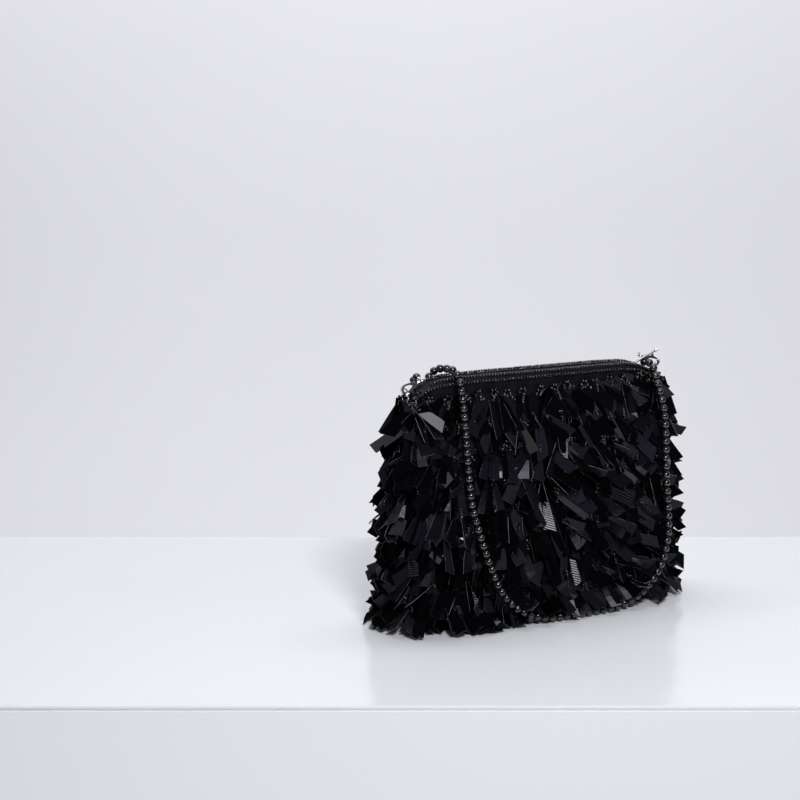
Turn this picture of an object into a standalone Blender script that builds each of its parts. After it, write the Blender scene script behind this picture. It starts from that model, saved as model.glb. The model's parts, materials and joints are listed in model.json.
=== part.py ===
"""A small evening purse: a satin zip pouch covered in rows of long sequins, with a beaded strap.

Frame: metres, +Z up, origin on the floor under the middle of the purse. +X runs along the
width, to the right as seen from the front, and the front faces -Y.
"""

import math

import bmesh
import bpy
import numpy as np
from mathutils import Matrix, Vector

# ---- driving dimensions ---------------------------------------------------------------
HALF_WIDTH = 0.1000  # side seam to middle, measured on the satin
MOUTH_Z = 0.1730  # the walls draw in up to here, and stand straight up above it
FRONT_TOP = 0.1760  # height of the front edge of the mouth at its middle
BACK_TOP = 0.1745  # the back edge stands a little lower
MOUTH_TILT = 0.0017  # the left end of the mouth is this much higher, the right end lower
CORNER_DROP = 0.0150  # how far the mouth edge falls at the side seams
MOUTH_HALF_GAP = 0.0067  # middle of the mouth to its edge, front to back
BASE_HALF_DEPTH = 0.0275  # the same at the boxed bottom
SEAM_HALF_GAP = 0.0016  # the panels stop this far from the side seam's middle plane
BOTTOM_ROUNDING = 0.0090
LEAN = 0.0050  # the top sits this far to the right of the bottom
CENTRE_X = -0.0006  # the seams' middle at the floor; it centres the whole purse on the origin
FABRIC = 0.0008
CLEARANCE = 0.0003

GUSSET_THICKNESS = 0.0016
BOARD_THICKNESS = 0.0015
LINING_THICKNESS = 0.0005

TAPE_Z = 0.1675  # middle plane of the zip
TAPE_THICKNESS = 0.0006
TEETH_THICKNESS = 0.0016
TEETH_SLOT = 0.0011  # free slot between the two rows of teeth
TEETH_ROOT = 0.0017  # from the middle plane to the back of a row of teeth
TEETH_PITCH = 0.0025
ZIP_LEFT = -0.0790  # first tooth
ZIP_RIGHT = 0.0905  # last tooth
SLIDER_X = 0.0855  # closed
SLIDER_TRAVEL = 0.1150
PULL_PIVOT_Z = 0.1704
PULL_LENGTH = 0.0245
PULL_REST = math.radians(23)  # above the horizontal, towards +X

SEED_BEAD = 0.0021
HEM_END = 0.88  # share of the half width that the beaded hem covers
BRAID_WIDTH = 0.0052
BRAID_THICKNESS = 0.0020

ROWS = 8
TOP_ROW_Z = 0.1585
ROW_STEP = 0.0183
ROW_DROP = 0.0280
ROW_LIFT_TOP = 0.0012
ROW_LIFT_BOTTOM = 0.0075
ROW_FLARE = 0.0048  # the lowest row stands out this much more than the highest
ROW_THICKNESS = 0.0010
ROW_END_GAP = 0.0036  # a row ends this far from the side seam's middle plane

RING_RADIUS = 0.0050
RING_WIRE = 0.0005
RING_OUT = 0.0026  # from the side seam to the plane of the ring
RING_Z = 0.1655
RING_TURN = {"left": 0.0, "right": math.radians(36)}
TAB_HALF_WIDTH = 0.0014

CLASP_LIFT = {  # direction from the hook to the swivel eye
    "left": (0.905, -0.100, 0.413),
    "right": (-0.600, 0.720, 0.330),
}
CLASP_TILT = math.radians(10)
CLASP_THICKNESS = 0.0030
CLASP_HOLD = (0.0088, -0.0004)  # where the ring's wire lies in the clasp's opening
CLASP_SLOT = 0.0016
LEVER_PIVOT = (0.0022, 0.0011)
EYE_X = -0.0043
EYE_RADIUS = 0.0015
EYE_WIRE = 0.00045
CAP_LOOP = 0.0011
CAP_WIRE = 0.00033
CAP_LENGTH = 0.0026
CAP_NECK = 0.0008  # the bell's radius at its loop
CAP_MOUTH = 0.0016  # and where the strap comes out of it
CAP_DIRECTION = {  # from the swivel eye into the strap
    "left": (0.08, 0.98, 0.05),
    "right": (-0.14, -0.88, -0.46),
}

BEAD = 0.0060
STRAP_ROUTE_MM = [  # centre of the strap, from the left clasp to the right clasp
    (-85.8, 9.7, 175.8),
    (-84.8, 13.5, 171.7),
    (-80.6, 15.6, 168.2),
    (-75.6, 15.2, 170.4),
    (-72.2, 12.4, 175.6),
    (-70.2, 8.0, 180.2),
    (-67.6, 2.8, 181.4),
    (-65.6, -3.2, 181.9),
    (-64.6, -9.9, 180.9),
    (-63.8, -14.6, 175.8),
    (-63.0, -16.6, 165.0),
    (-63.0, -20.4, 152.0),
    (-63.6, -26.0, 125.0),
    (-62.8, -31.2, 94.0),
    (-60.0, -34.0, 78.0),
    (-56.0, -36.4, 62.0),
    (-50.4, -39.0, 44.0),
    (-43.0, -41.0, 27.0),
    (-32.0, -42.4, 14.4),
    (-18.0, -43.0, 7.2),
    (-2.0, -43.2, 3.9),
    (24.0, -43.2, 3.3),
    (50.0, -42.8, 3.7),
    (68.0, -41.6, 8.4),
    (81.0, -39.6, 16.0),
    (91.0, -37.4, 27.0),
    (97.0, -35.6, 42.0),
    (99.6, -33.6, 58.0),
    (99.2, -29.4, 94.0),
    (100.2, -25.0, 128.0),
    (100.0, -22.0, 142.0),
    (98.8, -18.2, 154.0),
    (98.4, -13.6, 163.2),
    (98.8, -9.4, 169.3),
    (98.6, -4.9, 171.5),
    (98.3, -0.9, 171.6),
]
STRAP_POINTS = 78

COLLECTION = "clutch_purse"


# ---- scene helpers --------------------------------------------------------------------
def clear_scene():
    for obj in list(bpy.data.objects):
        bpy.data.objects.remove(obj, do_unlink=True)
    for name in (COLLECTION, "cutters"):
        collection = bpy.data.collections.new(name)
        bpy.context.scene.collection.children.link(collection)


def material(name, colour, roughness, metallic=0.0):
    found = bpy.data.materials.get(name)
    if found:
        return found
    made = bpy.data.materials.new(name)
    made.use_nodes = True
    shader = made.node_tree.nodes["Principled BSDF"]
    shader.inputs["Base Color"].default_value = (*colour, 1.0)
    shader.inputs["Roughness"].default_value = roughness
    shader.inputs["Metallic"].default_value = metallic
    return made


FINISHES = {
    "satin": ((0.012, 0.012, 0.016), 0.42, 0.0),
    "lining": ((0.020, 0.020, 0.022), 0.60, 0.0),
    "tape": ((0.014, 0.014, 0.016), 0.75, 0.0),
    "sequin": ((0.010, 0.010, 0.013), 0.12, 0.0),
    "glass_bead": ((0.006, 0.006, 0.008), 0.06, 0.0),
    "silver": ((0.80, 0.80, 0.82), 0.18, 1.0),
    "nylon": ((0.015, 0.015, 0.017), 0.35, 0.0),
    "board": ((0.45, 0.36, 0.25), 0.85, 0.0),
}


def add_object(name, data, finish, matrix=None):
    """Every sub-part gets a material of its own, so that each can be finished apart."""
    obj = bpy.data.objects.new(name, data)
    colour, roughness, metallic = FINISHES[finish]
    data.materials.clear()
    data.materials.append(material(f"{name}_{finish}", colour, roughness, metallic))
    bpy.data.collections[COLLECTION].objects.link(obj)
    if matrix is not None:
        obj.matrix_world = matrix
    return obj


def mesh_from(name, bm):
    mesh = bpy.data.meshes.new(name)
    bm.to_mesh(mesh)
    bm.free()
    return mesh


def solidify(obj, thickness, offset):
    modifier = obj.modifiers.new("thickness", "SOLIDIFY")
    modifier.thickness = thickness
    modifier.offset = offset
    return modifier


def cutter(name, bm, matrix):
    obj = bpy.data.objects.new(name, mesh_from(name, bm))
    bpy.data.collections["cutters"].objects.link(obj)
    obj.matrix_world = matrix
    obj.hide_render = True
    obj.display_type = "WIRE"
    return obj


def boolean(obj, tool, operation):
    modifier = obj.modifiers.new(operation.lower(), "BOOLEAN")
    modifier.object = tool
    modifier.operation = operation
    modifier.solver = "EXACT"


def box_mesh(low, high):
    bm = bmesh.new()
    bmesh.ops.create_cube(bm, size=1.0)
    low, high = Vector(low), Vector(high)
    bmesh.ops.scale(bm, vec=high - low, verts=bm.verts)
    bmesh.ops.translate(bm, vec=(low + high) / 2, verts=bm.verts)
    return bm


def cylinder_mesh(radius, start, end, segments=16):
    """A cylinder between two points."""
    start, end = Vector(start), Vector(end)
    bm = bmesh.new()
    turn = (end - start).to_track_quat("Z", "Y").to_matrix().to_4x4()
    bmesh.ops.create_cone(
        bm,
        cap_ends=True,
        segments=segments,
        radius1=radius,
        radius2=radius,
        depth=(end - start).length,
        matrix=Matrix.Translation((start + end) / 2) @ turn,
    )
    return bm


def torus_mesh(major, minor, around=28, across=8, matrix=None):
    """A ring about Z: a small circle spun round the axis."""
    bm = bmesh.new()
    bmesh.ops.create_circle(bm, segments=across, radius=minor)
    bmesh.ops.rotate(bm, verts=bm.verts, matrix=Matrix.Rotation(math.pi / 2, 3, "X"))
    bmesh.ops.translate(bm, verts=bm.verts, vec=(major, 0, 0))
    bmesh.ops.spin(
        bm,
        geom=list(bm.edges),
        cent=(0, 0, 0),
        axis=(0, 0, 1),
        angle=2 * math.pi,
        steps=around,
        use_merge=True,
    )
    bmesh.ops.recalc_face_normals(bm, faces=bm.faces)
    if matrix is not None:
        bmesh.ops.transform(bm, matrix=matrix, verts=bm.verts)
    return bm


def flat_curve(name, outlines, thickness):
    """A 2D curve filled between its outlines, as thick as asked about its own plane."""
    curve = bpy.data.curves.new(name, "CURVE")
    curve.dimensions = "2D"
    curve.fill_mode = "BOTH"
    curve.extrude = thickness / 2
    for points in outlines:
        spline = curve.splines.new("POLY")
        spline.points.add(len(points) - 1)
        for point, (x, y) in zip(spline.points, points, strict=True):
            point.co = (x, y, 0, 1)
        spline.use_cyclic_u = True
    return curve


def plate_mesh(name, outlines, thickness):
    """The same plate as a welded mesh, for pieces that are cut afterwards."""
    curve = flat_curve(name + "_outline", outlines, thickness)
    guide = bpy.data.objects.new(name + "_outline", curve)
    bpy.context.scene.collection.objects.link(guide)
    graph = bpy.context.evaluated_depsgraph_get()
    mesh = bpy.data.meshes.new_from_object(guide.evaluated_get(graph))
    bpy.data.objects.remove(guide, do_unlink=True)
    bm = bmesh.new()
    bm.from_mesh(mesh)
    bpy.data.meshes.remove(mesh)
    bmesh.ops.remove_doubles(bm, verts=bm.verts, dist=1e-6)
    bmesh.ops.recalc_face_normals(bm, faces=bm.faces)
    return bm


def arc(centre, radii, start, end, steps):
    """Points along part of an ellipse, angles in degrees."""
    return [
        (centre[0] + radii[0] * math.cos(a), centre[1] + radii[1] * math.sin(a))
        for a in np.radians(np.linspace(start, end, steps))
    ]


# ---- the pouch's own shape ------------------------------------------------------------
def middle_x(z):
    return CENTRE_X + LEAN * z / MOUTH_Z


def down(z):
    """0 at the mouth, 1 at the floor."""
    return min(max((MOUTH_Z - z) / MOUTH_Z, 0.0), 1.0)


def pulled_in(z):
    """How far the wall comes in where it rounds into the bottom."""
    if z >= BOTTOM_ROUNDING:
        return 0.0
    rise = BOTTOM_ROUNDING - z
    return BOTTOM_ROUNDING - math.sqrt(BOTTOM_ROUNDING**2 - rise**2)


def half_depth(z):
    spread = (BASE_HALF_DEPTH - MOUTH_HALF_GAP) * down(z) ** 0.85
    return MOUTH_HALF_GAP + spread - 0.6 * pulled_in(z)


def half_width(z):
    return HALF_WIDTH - 0.6 * pulled_in(z)


def outline(z, inset=(0.0, 0.0), seam=SEAM_HALF_GAP, steps=240):
    """The front half of the section at height z, left seam to right seam, and the share of
    its length at each point. It is a lens at the mouth and a rounded box at the bottom."""
    power = 0.75 - 0.33 * down(z) ** 0.6
    turn = np.linspace(math.pi, 0.0, steps)
    across = np.sign(np.cos(turn)) * np.abs(np.cos(turn)) ** power
    out = np.abs(np.sin(turn)) ** power
    x = middle_x(z) + (half_width(z) - inset[0]) * across
    y = -(seam + (half_depth(z) - inset[1] - seam) * out)
    length = np.concatenate([[0.0], np.cumsum(np.hypot(np.diff(x), np.diff(y)))])
    return x, y, length / length[-1]


def section(share, z, **options):
    x, y, along = outline(z, **options)
    return float(np.interp(share, along, x)), float(np.interp(share, along, y))


def mouth_z(x, side):
    """Height of the mouth's edge at x. side is -1 for the front and +1 for the back."""
    middle = FRONT_TOP if side < 0 else BACK_TOP
    across = (x - middle_x(MOUTH_Z)) / HALF_WIDTH
    return middle - MOUTH_TILT * across - CORNER_DROP * abs(across) ** 10


def skin(share, z, side, lift=0.0):
    """A point of the pouch's wall, moved outwards by lift."""
    step = 0.004
    x, y = section(share, z)
    left = Vector(section(max(share - step, 0.0), z))
    right = Vector(section(min(share + step, 1.0), z))
    along = (right - left).normalized()
    return Vector((x + along.y * lift, side * -(y - along.x * lift), z))


def grid_surface(columns, rows, place):
    """A grid with place(u, v) as its point at shares u across and v up."""
    bm = bmesh.new()
    bmesh.ops.create_grid(bm, x_segments=columns, y_segments=rows, size=0.5)
    for vert in bm.verts:
        vert.co = place(vert.co.x + 0.5, vert.co.y + 0.5)
    return bm


def face_outwards(bm, side):
    """The grid faces the way it was made, so the back's mirror image is turned over."""
    bm.normal_update()
    face = max(bm.faces, key=lambda f: abs(f.normal.y))
    if face.normal.y * side < 0:
        bmesh.ops.reverse_faces(bm, faces=bm.faces)


# ---- pouch ----------------------------------------------------------------------------
def make_panel(name, side):
    bottom = GUSSET_THICKNESS + CLEARANCE

    def place(u, v):
        top = mouth_z(section(u, MOUTH_Z)[0], side)
        return skin(u, bottom + (top - bottom) * v**1.5, side)

    bm = grid_surface(28, 12, place)
    face_outwards(bm, side)
    solidify(add_object(name, mesh_from(name, bm), "satin"), FABRIC, -1)


def ring_points(z, inset, seam, count=17):
    """The whole section at height z as a closed ring of points."""
    shares = np.linspace(0.0, 1.0, count)
    front = [section(s, z, inset=inset, seam=seam) for s in shares]
    back = [(x, -y) for x, y in reversed(front)]
    return front + back


def make_gusset():
    z = GUSSET_THICKNESS + CLEARANCE
    points = ring_points(z, (0.0, 0.0), SEAM_HALF_GAP)
    curve = flat_curve("bottom_gusset", [points], GUSSET_THICKNESS)
    place = Matrix.Translation((0, 0, GUSSET_THICKNESS / 2))
    add_object("bottom_gusset", curve, "satin", place)


def make_board():
    z = GUSSET_THICKNESS + CLEARANCE + BOARD_THICKNESS / 2
    points = ring_points(z, (0.0055, 0.0045), 0.004, 11)
    curve = flat_curve("base_board", [points], BOARD_THICKNESS)
    add_object("base_board", curve, "board", Matrix.Translation((0, 0, z)))


def make_lining():
    low = GUSSET_THICKNESS + BOARD_THICKNESS + 3 * CLEARANCE
    high = TAPE_Z - TAPE_THICKNESS / 2 - 0.0009
    bm = bmesh.new()
    rings = []
    for v in np.linspace(0.0, 1.0, 9):
        z = low + (high - low) * v**1.5
        points = ring_points(z, (0.0032, 0.0015), 0.0010)
        rings.append([bm.verts.new((x, y, z)) for x, y in points])
    for lower, upper in zip(rings, rings[1:], strict=False):
        for k in range(len(lower)):
            n = (k + 1) % len(lower)
            bm.faces.new((lower[k], lower[n], upper[n], upper[k]))
    bm.faces.new(list(reversed(rings[0])))
    bmesh.ops.recalc_face_normals(bm, faces=bm.faces)
    solidify(add_object("lining_pouch", mesh_from("lining", bm), "lining"), LINING_THICKNESS, -1)


# ---- zip ------------------------------------------------------------------------------
def make_tape(name, side):
    inner = TEETH_ROOT + CLEARANCE
    left, right = ZIP_LEFT - 0.004, ZIP_RIGHT + 0.003
    x_all, y_all, _ = outline(TAPE_Z)
    outer = []
    for x in np.linspace(right, left, 16):
        wall = -float(np.interp(x, x_all, y_all))
        outer.append((x, side * (wall - FABRIC - 0.0005)))
    points = [(left, side * inner), (right, side * inner), *outer]
    curve = flat_curve(name, [points], TAPE_THICKNESS)
    add_object(name, curve, "tape", Matrix.Translation((0, 0, TAPE_Z)))


def make_teeth(name, side):
    tip, valley = TEETH_SLOT / 2, TEETH_SLOT / 2 + 0.0006
    points = [(ZIP_RIGHT, side * TEETH_ROOT), (ZIP_LEFT, side * TEETH_ROOT)]
    x = ZIP_LEFT
    while x + TEETH_PITCH <= ZIP_RIGHT + 1e-6:
        half = TEETH_PITCH / 2
        points += [(x, side * tip), (x + half, side * tip)]
        points += [(x + half, side * valley), (x + TEETH_PITCH, side * valley)]
        x += TEETH_PITCH
    curve = flat_curve(name, [points], TEETH_THICKNESS)
    add_object(name, curve, "nylon", Matrix.Translation((0, 0, TAPE_Z)))


def make_slider():
    """Two plates joined by a thin neck that runs in the slot, and a bridge for the pull."""
    half_chain = TEETH_THICKNESS / 2
    plate = 0.0008
    shield = [(-0.0045, -0.0024), (-0.0045, 0.0024), (0.0012, 0.0034)]
    shield += [(0.0034, 0.0030), (0.0045, 0.0016), (0.0045, -0.0016)]
    shield += [(0.0034, -0.0030), (0.0012, -0.0034)]
    base = Matrix.Translation((SLIDER_X, 0, TAPE_Z))
    centre = half_chain + CLEARANCE + plate / 2
    bm = plate_mesh("slider_plate", [shield], plate)
    bmesh.ops.translate(bm, verts=bm.verts, vec=(0, 0, centre))
    slider = add_object("zip_slider", mesh_from("zip_slider", bm), "silver", base)
    lower = plate_mesh("slider_lower", [shield], plate)
    bmesh.ops.translate(lower, verts=lower.verts, vec=(0, 0, -centre))
    boolean(slider, cutter("slider_lower", lower, base), "UNION")
    neck = box_mesh((0.0005, -0.00025, -centre), (0.0036, 0.00025, centre))
    boolean(slider, cutter("slider_neck", neck, base), "UNION")
    top = PULL_PIVOT_Z - TAPE_Z
    span, wire = 0.0024, 0.0005
    bridge = [(-span - wire, centre), (-span - wire, top + 0.0006)]
    bridge += [(-span + 0.0006, top + 0.0016), (span - 0.0006, top + 0.0016)]
    bridge += [(span + wire, top + 0.0006), (span + wire, centre)]
    bridge += [(span - wire, centre), (span - wire, top + 0.0002)]
    bridge += [(span - 0.0010, top + 0.0008), (-span + 0.0010, top + 0.0008)]
    bridge += [(-span + wire, top + 0.0002), (-span + wire, centre)]
    arch = plate_mesh("slider_bridge", [bridge], 2 * wire)
    upright = Matrix.Rotation(math.pi / 2, 4, "X")
    boolean(slider, cutter("slider_bridge", arch, base @ upright), "UNION")


def make_pull():
    """A slim bar with a loop that turns under the slider's bridge, and a small ball tip."""
    place = Matrix.Translation((SLIDER_X, 0, PULL_PIVOT_Z))
    place = place @ Matrix.Rotation(-PULL_REST, 4, "Y")
    loop, arm, bar = 0.0021, 0.0040, 0.0013
    frame = [(-0.0004, -loop), (arm, -loop), (arm + 0.0012, -bar)]
    frame += [(PULL_LENGTH - 0.0010, -bar * 0.8), (PULL_LENGTH - 0.0010, bar * 0.8)]
    frame += [(arm + 0.0012, bar), (arm, loop), (-0.0004, loop)]
    gap = [(0.0004, -loop + 0.0007), (0.0004, loop - 0.0007)]
    gap += [(arm - 0.0004, loop - 0.0007), (arm - 0.0004, -loop + 0.0007)]
    bm = plate_mesh("pull_plate", [frame, gap], 0.0008)
    pull = add_object("zip_pull", mesh_from("zip_pull", bm), "silver", place)
    ball = bmesh.new()
    bmesh.ops.create_uvsphere(ball, u_segments=12, v_segments=8, radius=0.00125)
    shift = place @ Matrix.Translation((PULL_LENGTH - 0.0010, 0, 0))
    boolean(pull, cutter("pull_ball", ball, shift), "UNION")


def make_stops():
    half = TEETH_THICKNESS / 2
    inner, outer = 0.0003, TEETH_ROOT
    for name, side in (("zip_top_stop_front", -1), ("zip_top_stop_back", 1)):
        ys = sorted((side * inner, side * outer))
        x = ZIP_RIGHT + CLEARANCE
        bm = box_mesh((x, ys[0], TAPE_Z - half), (x + 0.0022, ys[1], TAPE_Z + half))
        add_object(name, mesh_from(name, bm), "silver")
    x = ZIP_LEFT - CLEARANCE
    bm = box_mesh((x - 0.0026, -outer, TAPE_Z - half), (x, outer, TAPE_Z + half))
    add_object("zip_bottom_stop", mesh_from("zip_bottom_stop", bm), "silver")


def make_end_tabs():
    """Folded satin ends that close the mouth past the zip."""
    for name, x, out in (
        ("zip_end_tab_left", ZIP_LEFT - 0.0045, -1),
        ("zip_end_tab_right", ZIP_RIGHT + 0.0035, 1),
    ):
        near, far = (2 * CLEARANCE if out > 0 else 0.0), 0.0036
        low, high = sorted((x + out * near, x + out * far))
        bm = box_mesh((low, -0.0020, TAPE_Z - 0.0006), (high, 0.0020, TAPE_Z + 0.0006))
        add_object(name, mesh_from(name, bm), "satin")


# ---- trim -----------------------------------------------------------------------------
def make_hem(name, side):
    """The strip that two rows of seed beads fill, on the outside of the mouth's edge."""
    height = 2 * SEED_BEAD + 0.0002

    def share_at(across):
        x, _, along = outline(MOUTH_Z)
        return float(np.interp(middle_x(MOUTH_Z) + across * HALF_WIDTH, x, along))

    ends = share_at(-HEM_END), share_at(HEM_END)

    def place(u, v):
        share = ends[0] + (ends[1] - ends[0]) * u
        top = mouth_z(section(share, MOUTH_Z)[0], side) + CLEARANCE
        return skin(share, top - height * (1 - v), side, 2 * CLEARANCE)

    bm = grid_surface(26, 2, place)
    face_outwards(bm, side)
    solidify(add_object(name, mesh_from(name, bm), "glass_bead"), SEED_BEAD, 1)


def make_braid(name, out):
    low, high = 0.0120, 0.1560

    def place(u, v):
        z = low + (high - low) * v
        x = middle_x(z) + out * (half_width(z) + 0.0004)
        return Vector((x, (u - 0.5) * BRAID_WIDTH, z))

    bm = grid_surface(2, 10, place)
    bm.normal_update()
    if bm.faces[:][0].normal.x * out < 0:
        bmesh.ops.reverse_faces(bm, faces=bm.faces)
    solidify(add_object(name, mesh_from(name, bm), "glass_bead"), BRAID_THICKNESS, 1)


def make_sequin_row(number, side):
    """One sewn row of sequins as a shingle: close to the satin at its top, standing off at
    its ragged lower edge, so that each row overlaps the next one down."""
    word = "front" if side < 0 else "back"
    name = f"sequin_row_{word}_{number + 1}"
    top = TOP_ROW_Z - ROW_STEP * number
    flare = ROW_FLARE * number / (ROWS - 1)
    columns = 26

    def ends(z):
        x, y, along = outline(z)
        inside = along[-y > ROW_END_GAP]
        return float(inside[0]), float(inside[-1])

    first, last = ends(top)

    def place(u, v):
        share = first + (last - first) * u
        tooth = 0.0016 if round(u * columns) % 2 else 0.0
        low = top - ROW_DROP + tooth * (1 if number < ROWS - 1 else 0.5)
        z = low + (top - low) * v
        lift = ROW_LIFT_TOP + (ROW_LIFT_BOTTOM + flare - ROW_LIFT_TOP) * (1 - v)
        return skin(share, z, side, lift)

    bm = grid_surface(columns, 1, place)
    face_outwards(bm, side)
    solidify(add_object(name, mesh_from(name, bm), "sequin"), ROW_THICKNESS, 1)


# ---- rings and clasps -----------------------------------------------------------------
def ring_centre(hand):
    out = -1 if hand == "left" else 1
    x = middle_x(RING_Z) + out * (HALF_WIDTH + RING_OUT)
    return Vector((x, 0.0, RING_Z))


def upright_ring_frame(hand):
    """Z along the ring's own axis, which is level, and X up."""
    axis = Vector((1, 0, 0))
    axis.rotate(Matrix.Rotation(-RING_TURN[hand], 3, "Z"))
    up = Vector((0, 0, 1))
    turn = Matrix((up, axis.cross(up), axis)).transposed().to_4x4()
    return Matrix.Translation(ring_centre(hand)) @ turn


def make_tab(hand):
    """A stitched loop with a foot against the side seam, round the bottom of the ring."""
    out = -1 if hand == "left" else 1
    outer, hole, foot = 0.00185, 0.00125, 0.0026
    back = RING_OUT - 0.0006
    body = arc((0, 0), (outer, outer), -100, 100, 14)
    points = [*body, (-back + 0.0007, foot), (-back, foot), (-back, -foot), (-back + 0.0007, -foot)]
    window = arc((0, 0), (hole, hole), 360, 24, 15)
    name = f"corner_tab_{hand}"
    curve = flat_curve(name, [points, window], 2 * TAB_HALF_WIDTH)
    centre = ring_centre(hand) - Vector((0, 0, RING_RADIUS))
    side_on = Matrix.Rotation(math.pi / 2, 4, "X")
    flip = Matrix.Diagonal((out, 1, 1, 1)) if out > 0 else Matrix.Rotation(math.pi, 4, "Z")
    turn = Matrix.Rotation(-RING_TURN[hand], 4, "Z")
    add_object(name, curve, "satin", Matrix.Translation(centre) @ turn @ flip @ side_on)


def make_ring(hand):
    name = f"ring_{hand}"
    bm = torus_mesh(RING_RADIUS, RING_WIRE)
    add_object(name, mesh_from(name, bm), "silver", upright_ring_frame(hand))


def clasp_frame(hand):
    """Origin where the swivel meets the clasp; +X runs to the hook, +Z through the opening."""
    to_eye = Vector(CLASP_LIFT[hand]).normalized()
    along = -to_eye
    level = Vector((0, 0, 1)).cross(along).normalized()
    if level.y > 0:
        level = -level
    through = Matrix.Rotation(CLASP_TILT if hand == "left" else 0.0, 3, along) @ level
    across = through.cross(along)
    ring_top = ring_centre(hand) + Vector((0, 0, RING_RADIUS))
    origin = ring_top - along * CLASP_HOLD[0] - across * CLASP_HOLD[1]
    turn = Matrix((along, across, through)).transposed().to_4x4()
    return Matrix.Translation(origin) @ turn


def clasp_outline():
    """A teardrop hook, open on its +Y side between the base and the tip."""
    tip = arc((0.0076, 0), (0.0044, 0.0034), 52, -90, 15)
    lower = [(0.0045, -0.0029), (0.0015, -0.0019), (-0.0006, -0.0017)]
    base = [(-0.0006, 0.0017), (0.0010, 0.0020), (0.0034, 0.0024), (0.0034, 0.0006)]
    inside = [(0.0036, -0.0005), (0.0050, -0.0016)]
    inner = arc((0.0074, 0), (0.0032, 0.0022), -90, 46, 13)
    return [*tip, *lower, *base, *inside, *inner]


def lever_outline():
    """The sprung arm, with a small thumb tab standing out near its pivot."""
    px, py = LEVER_PIVOT
    heel = arc((px, py), (0.00085, 0.00085), 100, 290, 12)
    arm = [(0.0052, 0.0013), (0.0072, 0.0019), (0.0089, 0.0019)]
    tip = [(0.0094, 0.0022), (0.0096, 0.0027), (0.0090, 0.0031)]
    tab = [(0.0062, 0.0034), (0.0053, 0.0048), (0.0044, 0.0047), (0.0042, 0.0031)]
    return [*heel, *arm, *tip, *tab]


def make_clasp(hand):
    frame = clasp_frame(hand)
    px, py = LEVER_PIVOT
    name = f"clasp_body_{hand}"
    bm = plate_mesh(name, [clasp_outline()], CLASP_THICKNESS)
    body = add_object(name, mesh_from(name, bm), "silver", frame)
    slot = box_mesh((0.0009, -0.0001, -CLASP_SLOT / 2), (0.0040, 0.0040, CLASP_SLOT / 2))
    boolean(body, cutter(f"clasp_slot_{hand}", slot, frame), "DIFFERENCE")
    bore = cylinder_mesh(0.00065, (px, py, -0.003), (px, py, 0.003))
    boolean(body, cutter(f"clasp_bore_{hand}", bore, frame), "DIFFERENCE")
    socket = cylinder_mesh(0.00075, (-0.002, 0, 0), (0.0006, 0, 0), 12)
    boolean(body, cutter(f"clasp_socket_{hand}", socket, frame), "DIFFERENCE")

    name = f"clasp_lever_{hand}"
    shifted = [(x - px, y - py) for x, y in lever_outline()]
    hole = arc((0, 0), (0.00065, 0.00065), 345, 0, 12)
    curve = flat_curve(name, [shifted, hole], 0.0006)
    pivot = frame @ Matrix.Translation((px, py, -0.00025))
    add_object(name, curve, "silver", pivot)

    name = f"clasp_pin_{hand}"
    pin = cylinder_mesh(0.0004, (px, py, -0.00145), (px, py, 0.00145))
    add_object(name, mesh_from(name, pin), "silver", frame)
    make_spring(hand, frame)
    make_eye(hand)


def make_spring(hand, frame):
    """A tiny torsion coil round the pin, between the lever and the clasp's cheek."""
    px, py = LEVER_PIVOT
    turns, steps = 2, 10
    curve = bpy.data.curves.new(f"clasp_spring_{hand}", "CURVE")
    curve.dimensions = "3D"
    curve.bevel_depth = 0.00009
    curve.bevel_resolution = 1
    curve.use_fill_caps = True
    spline = curve.splines.new("POLY")
    spline.points.add(turns * steps)
    for k, point in enumerate(spline.points):
        angle = 2 * math.pi * k / steps
        rise = 0.00024 + 0.00036 * k / (turns * steps)
        x = px + 0.00082 * math.cos(angle)
        point.co = (x, py + 0.00082 * math.sin(angle), rise, 1)
    add_object(f"clasp_spring_{hand}", curve, "silver", frame)


def cap_direction(hand):
    return Vector(CAP_DIRECTION[hand]).normalized()


def eye_frame(hand):
    """The swivel eye's own frame: X back along the clasp, Z its axis. The strap's end loop
    pulls in the eye's plane."""
    frame = clasp_frame(hand)
    along = frame.to_3x3().col[0].normalized()
    axis = along.cross(cap_direction(hand)).normalized()
    centre = frame @ Vector((EYE_X, 0, 0))
    turn = Matrix((along, axis.cross(along), axis)).transposed().to_4x4()
    return Matrix.Translation(centre) @ turn


def make_eye(hand):
    name = f"swivel_eye_{hand}"
    place = eye_frame(hand)
    bm = torus_mesh(EYE_RADIUS, EYE_WIRE, 20, 8)
    eye = add_object(name, mesh_from(name, bm), "silver", place)
    post = cylinder_mesh(EYE_WIRE, (EYE_RADIUS, 0, 0), (-EYE_X + 0.0001, 0, 0), 10)
    boolean(eye, cutter(f"eye_post_{hand}", post, place), "UNION")


def strap_end(hand):
    """Where the strap starts, just past the bell of its end cap."""
    reach = EYE_RADIUS + CAP_LOOP + CAP_LENGTH + 3 * CLEARANCE
    return eye_frame(hand).translation + cap_direction(hand) * reach


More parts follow.
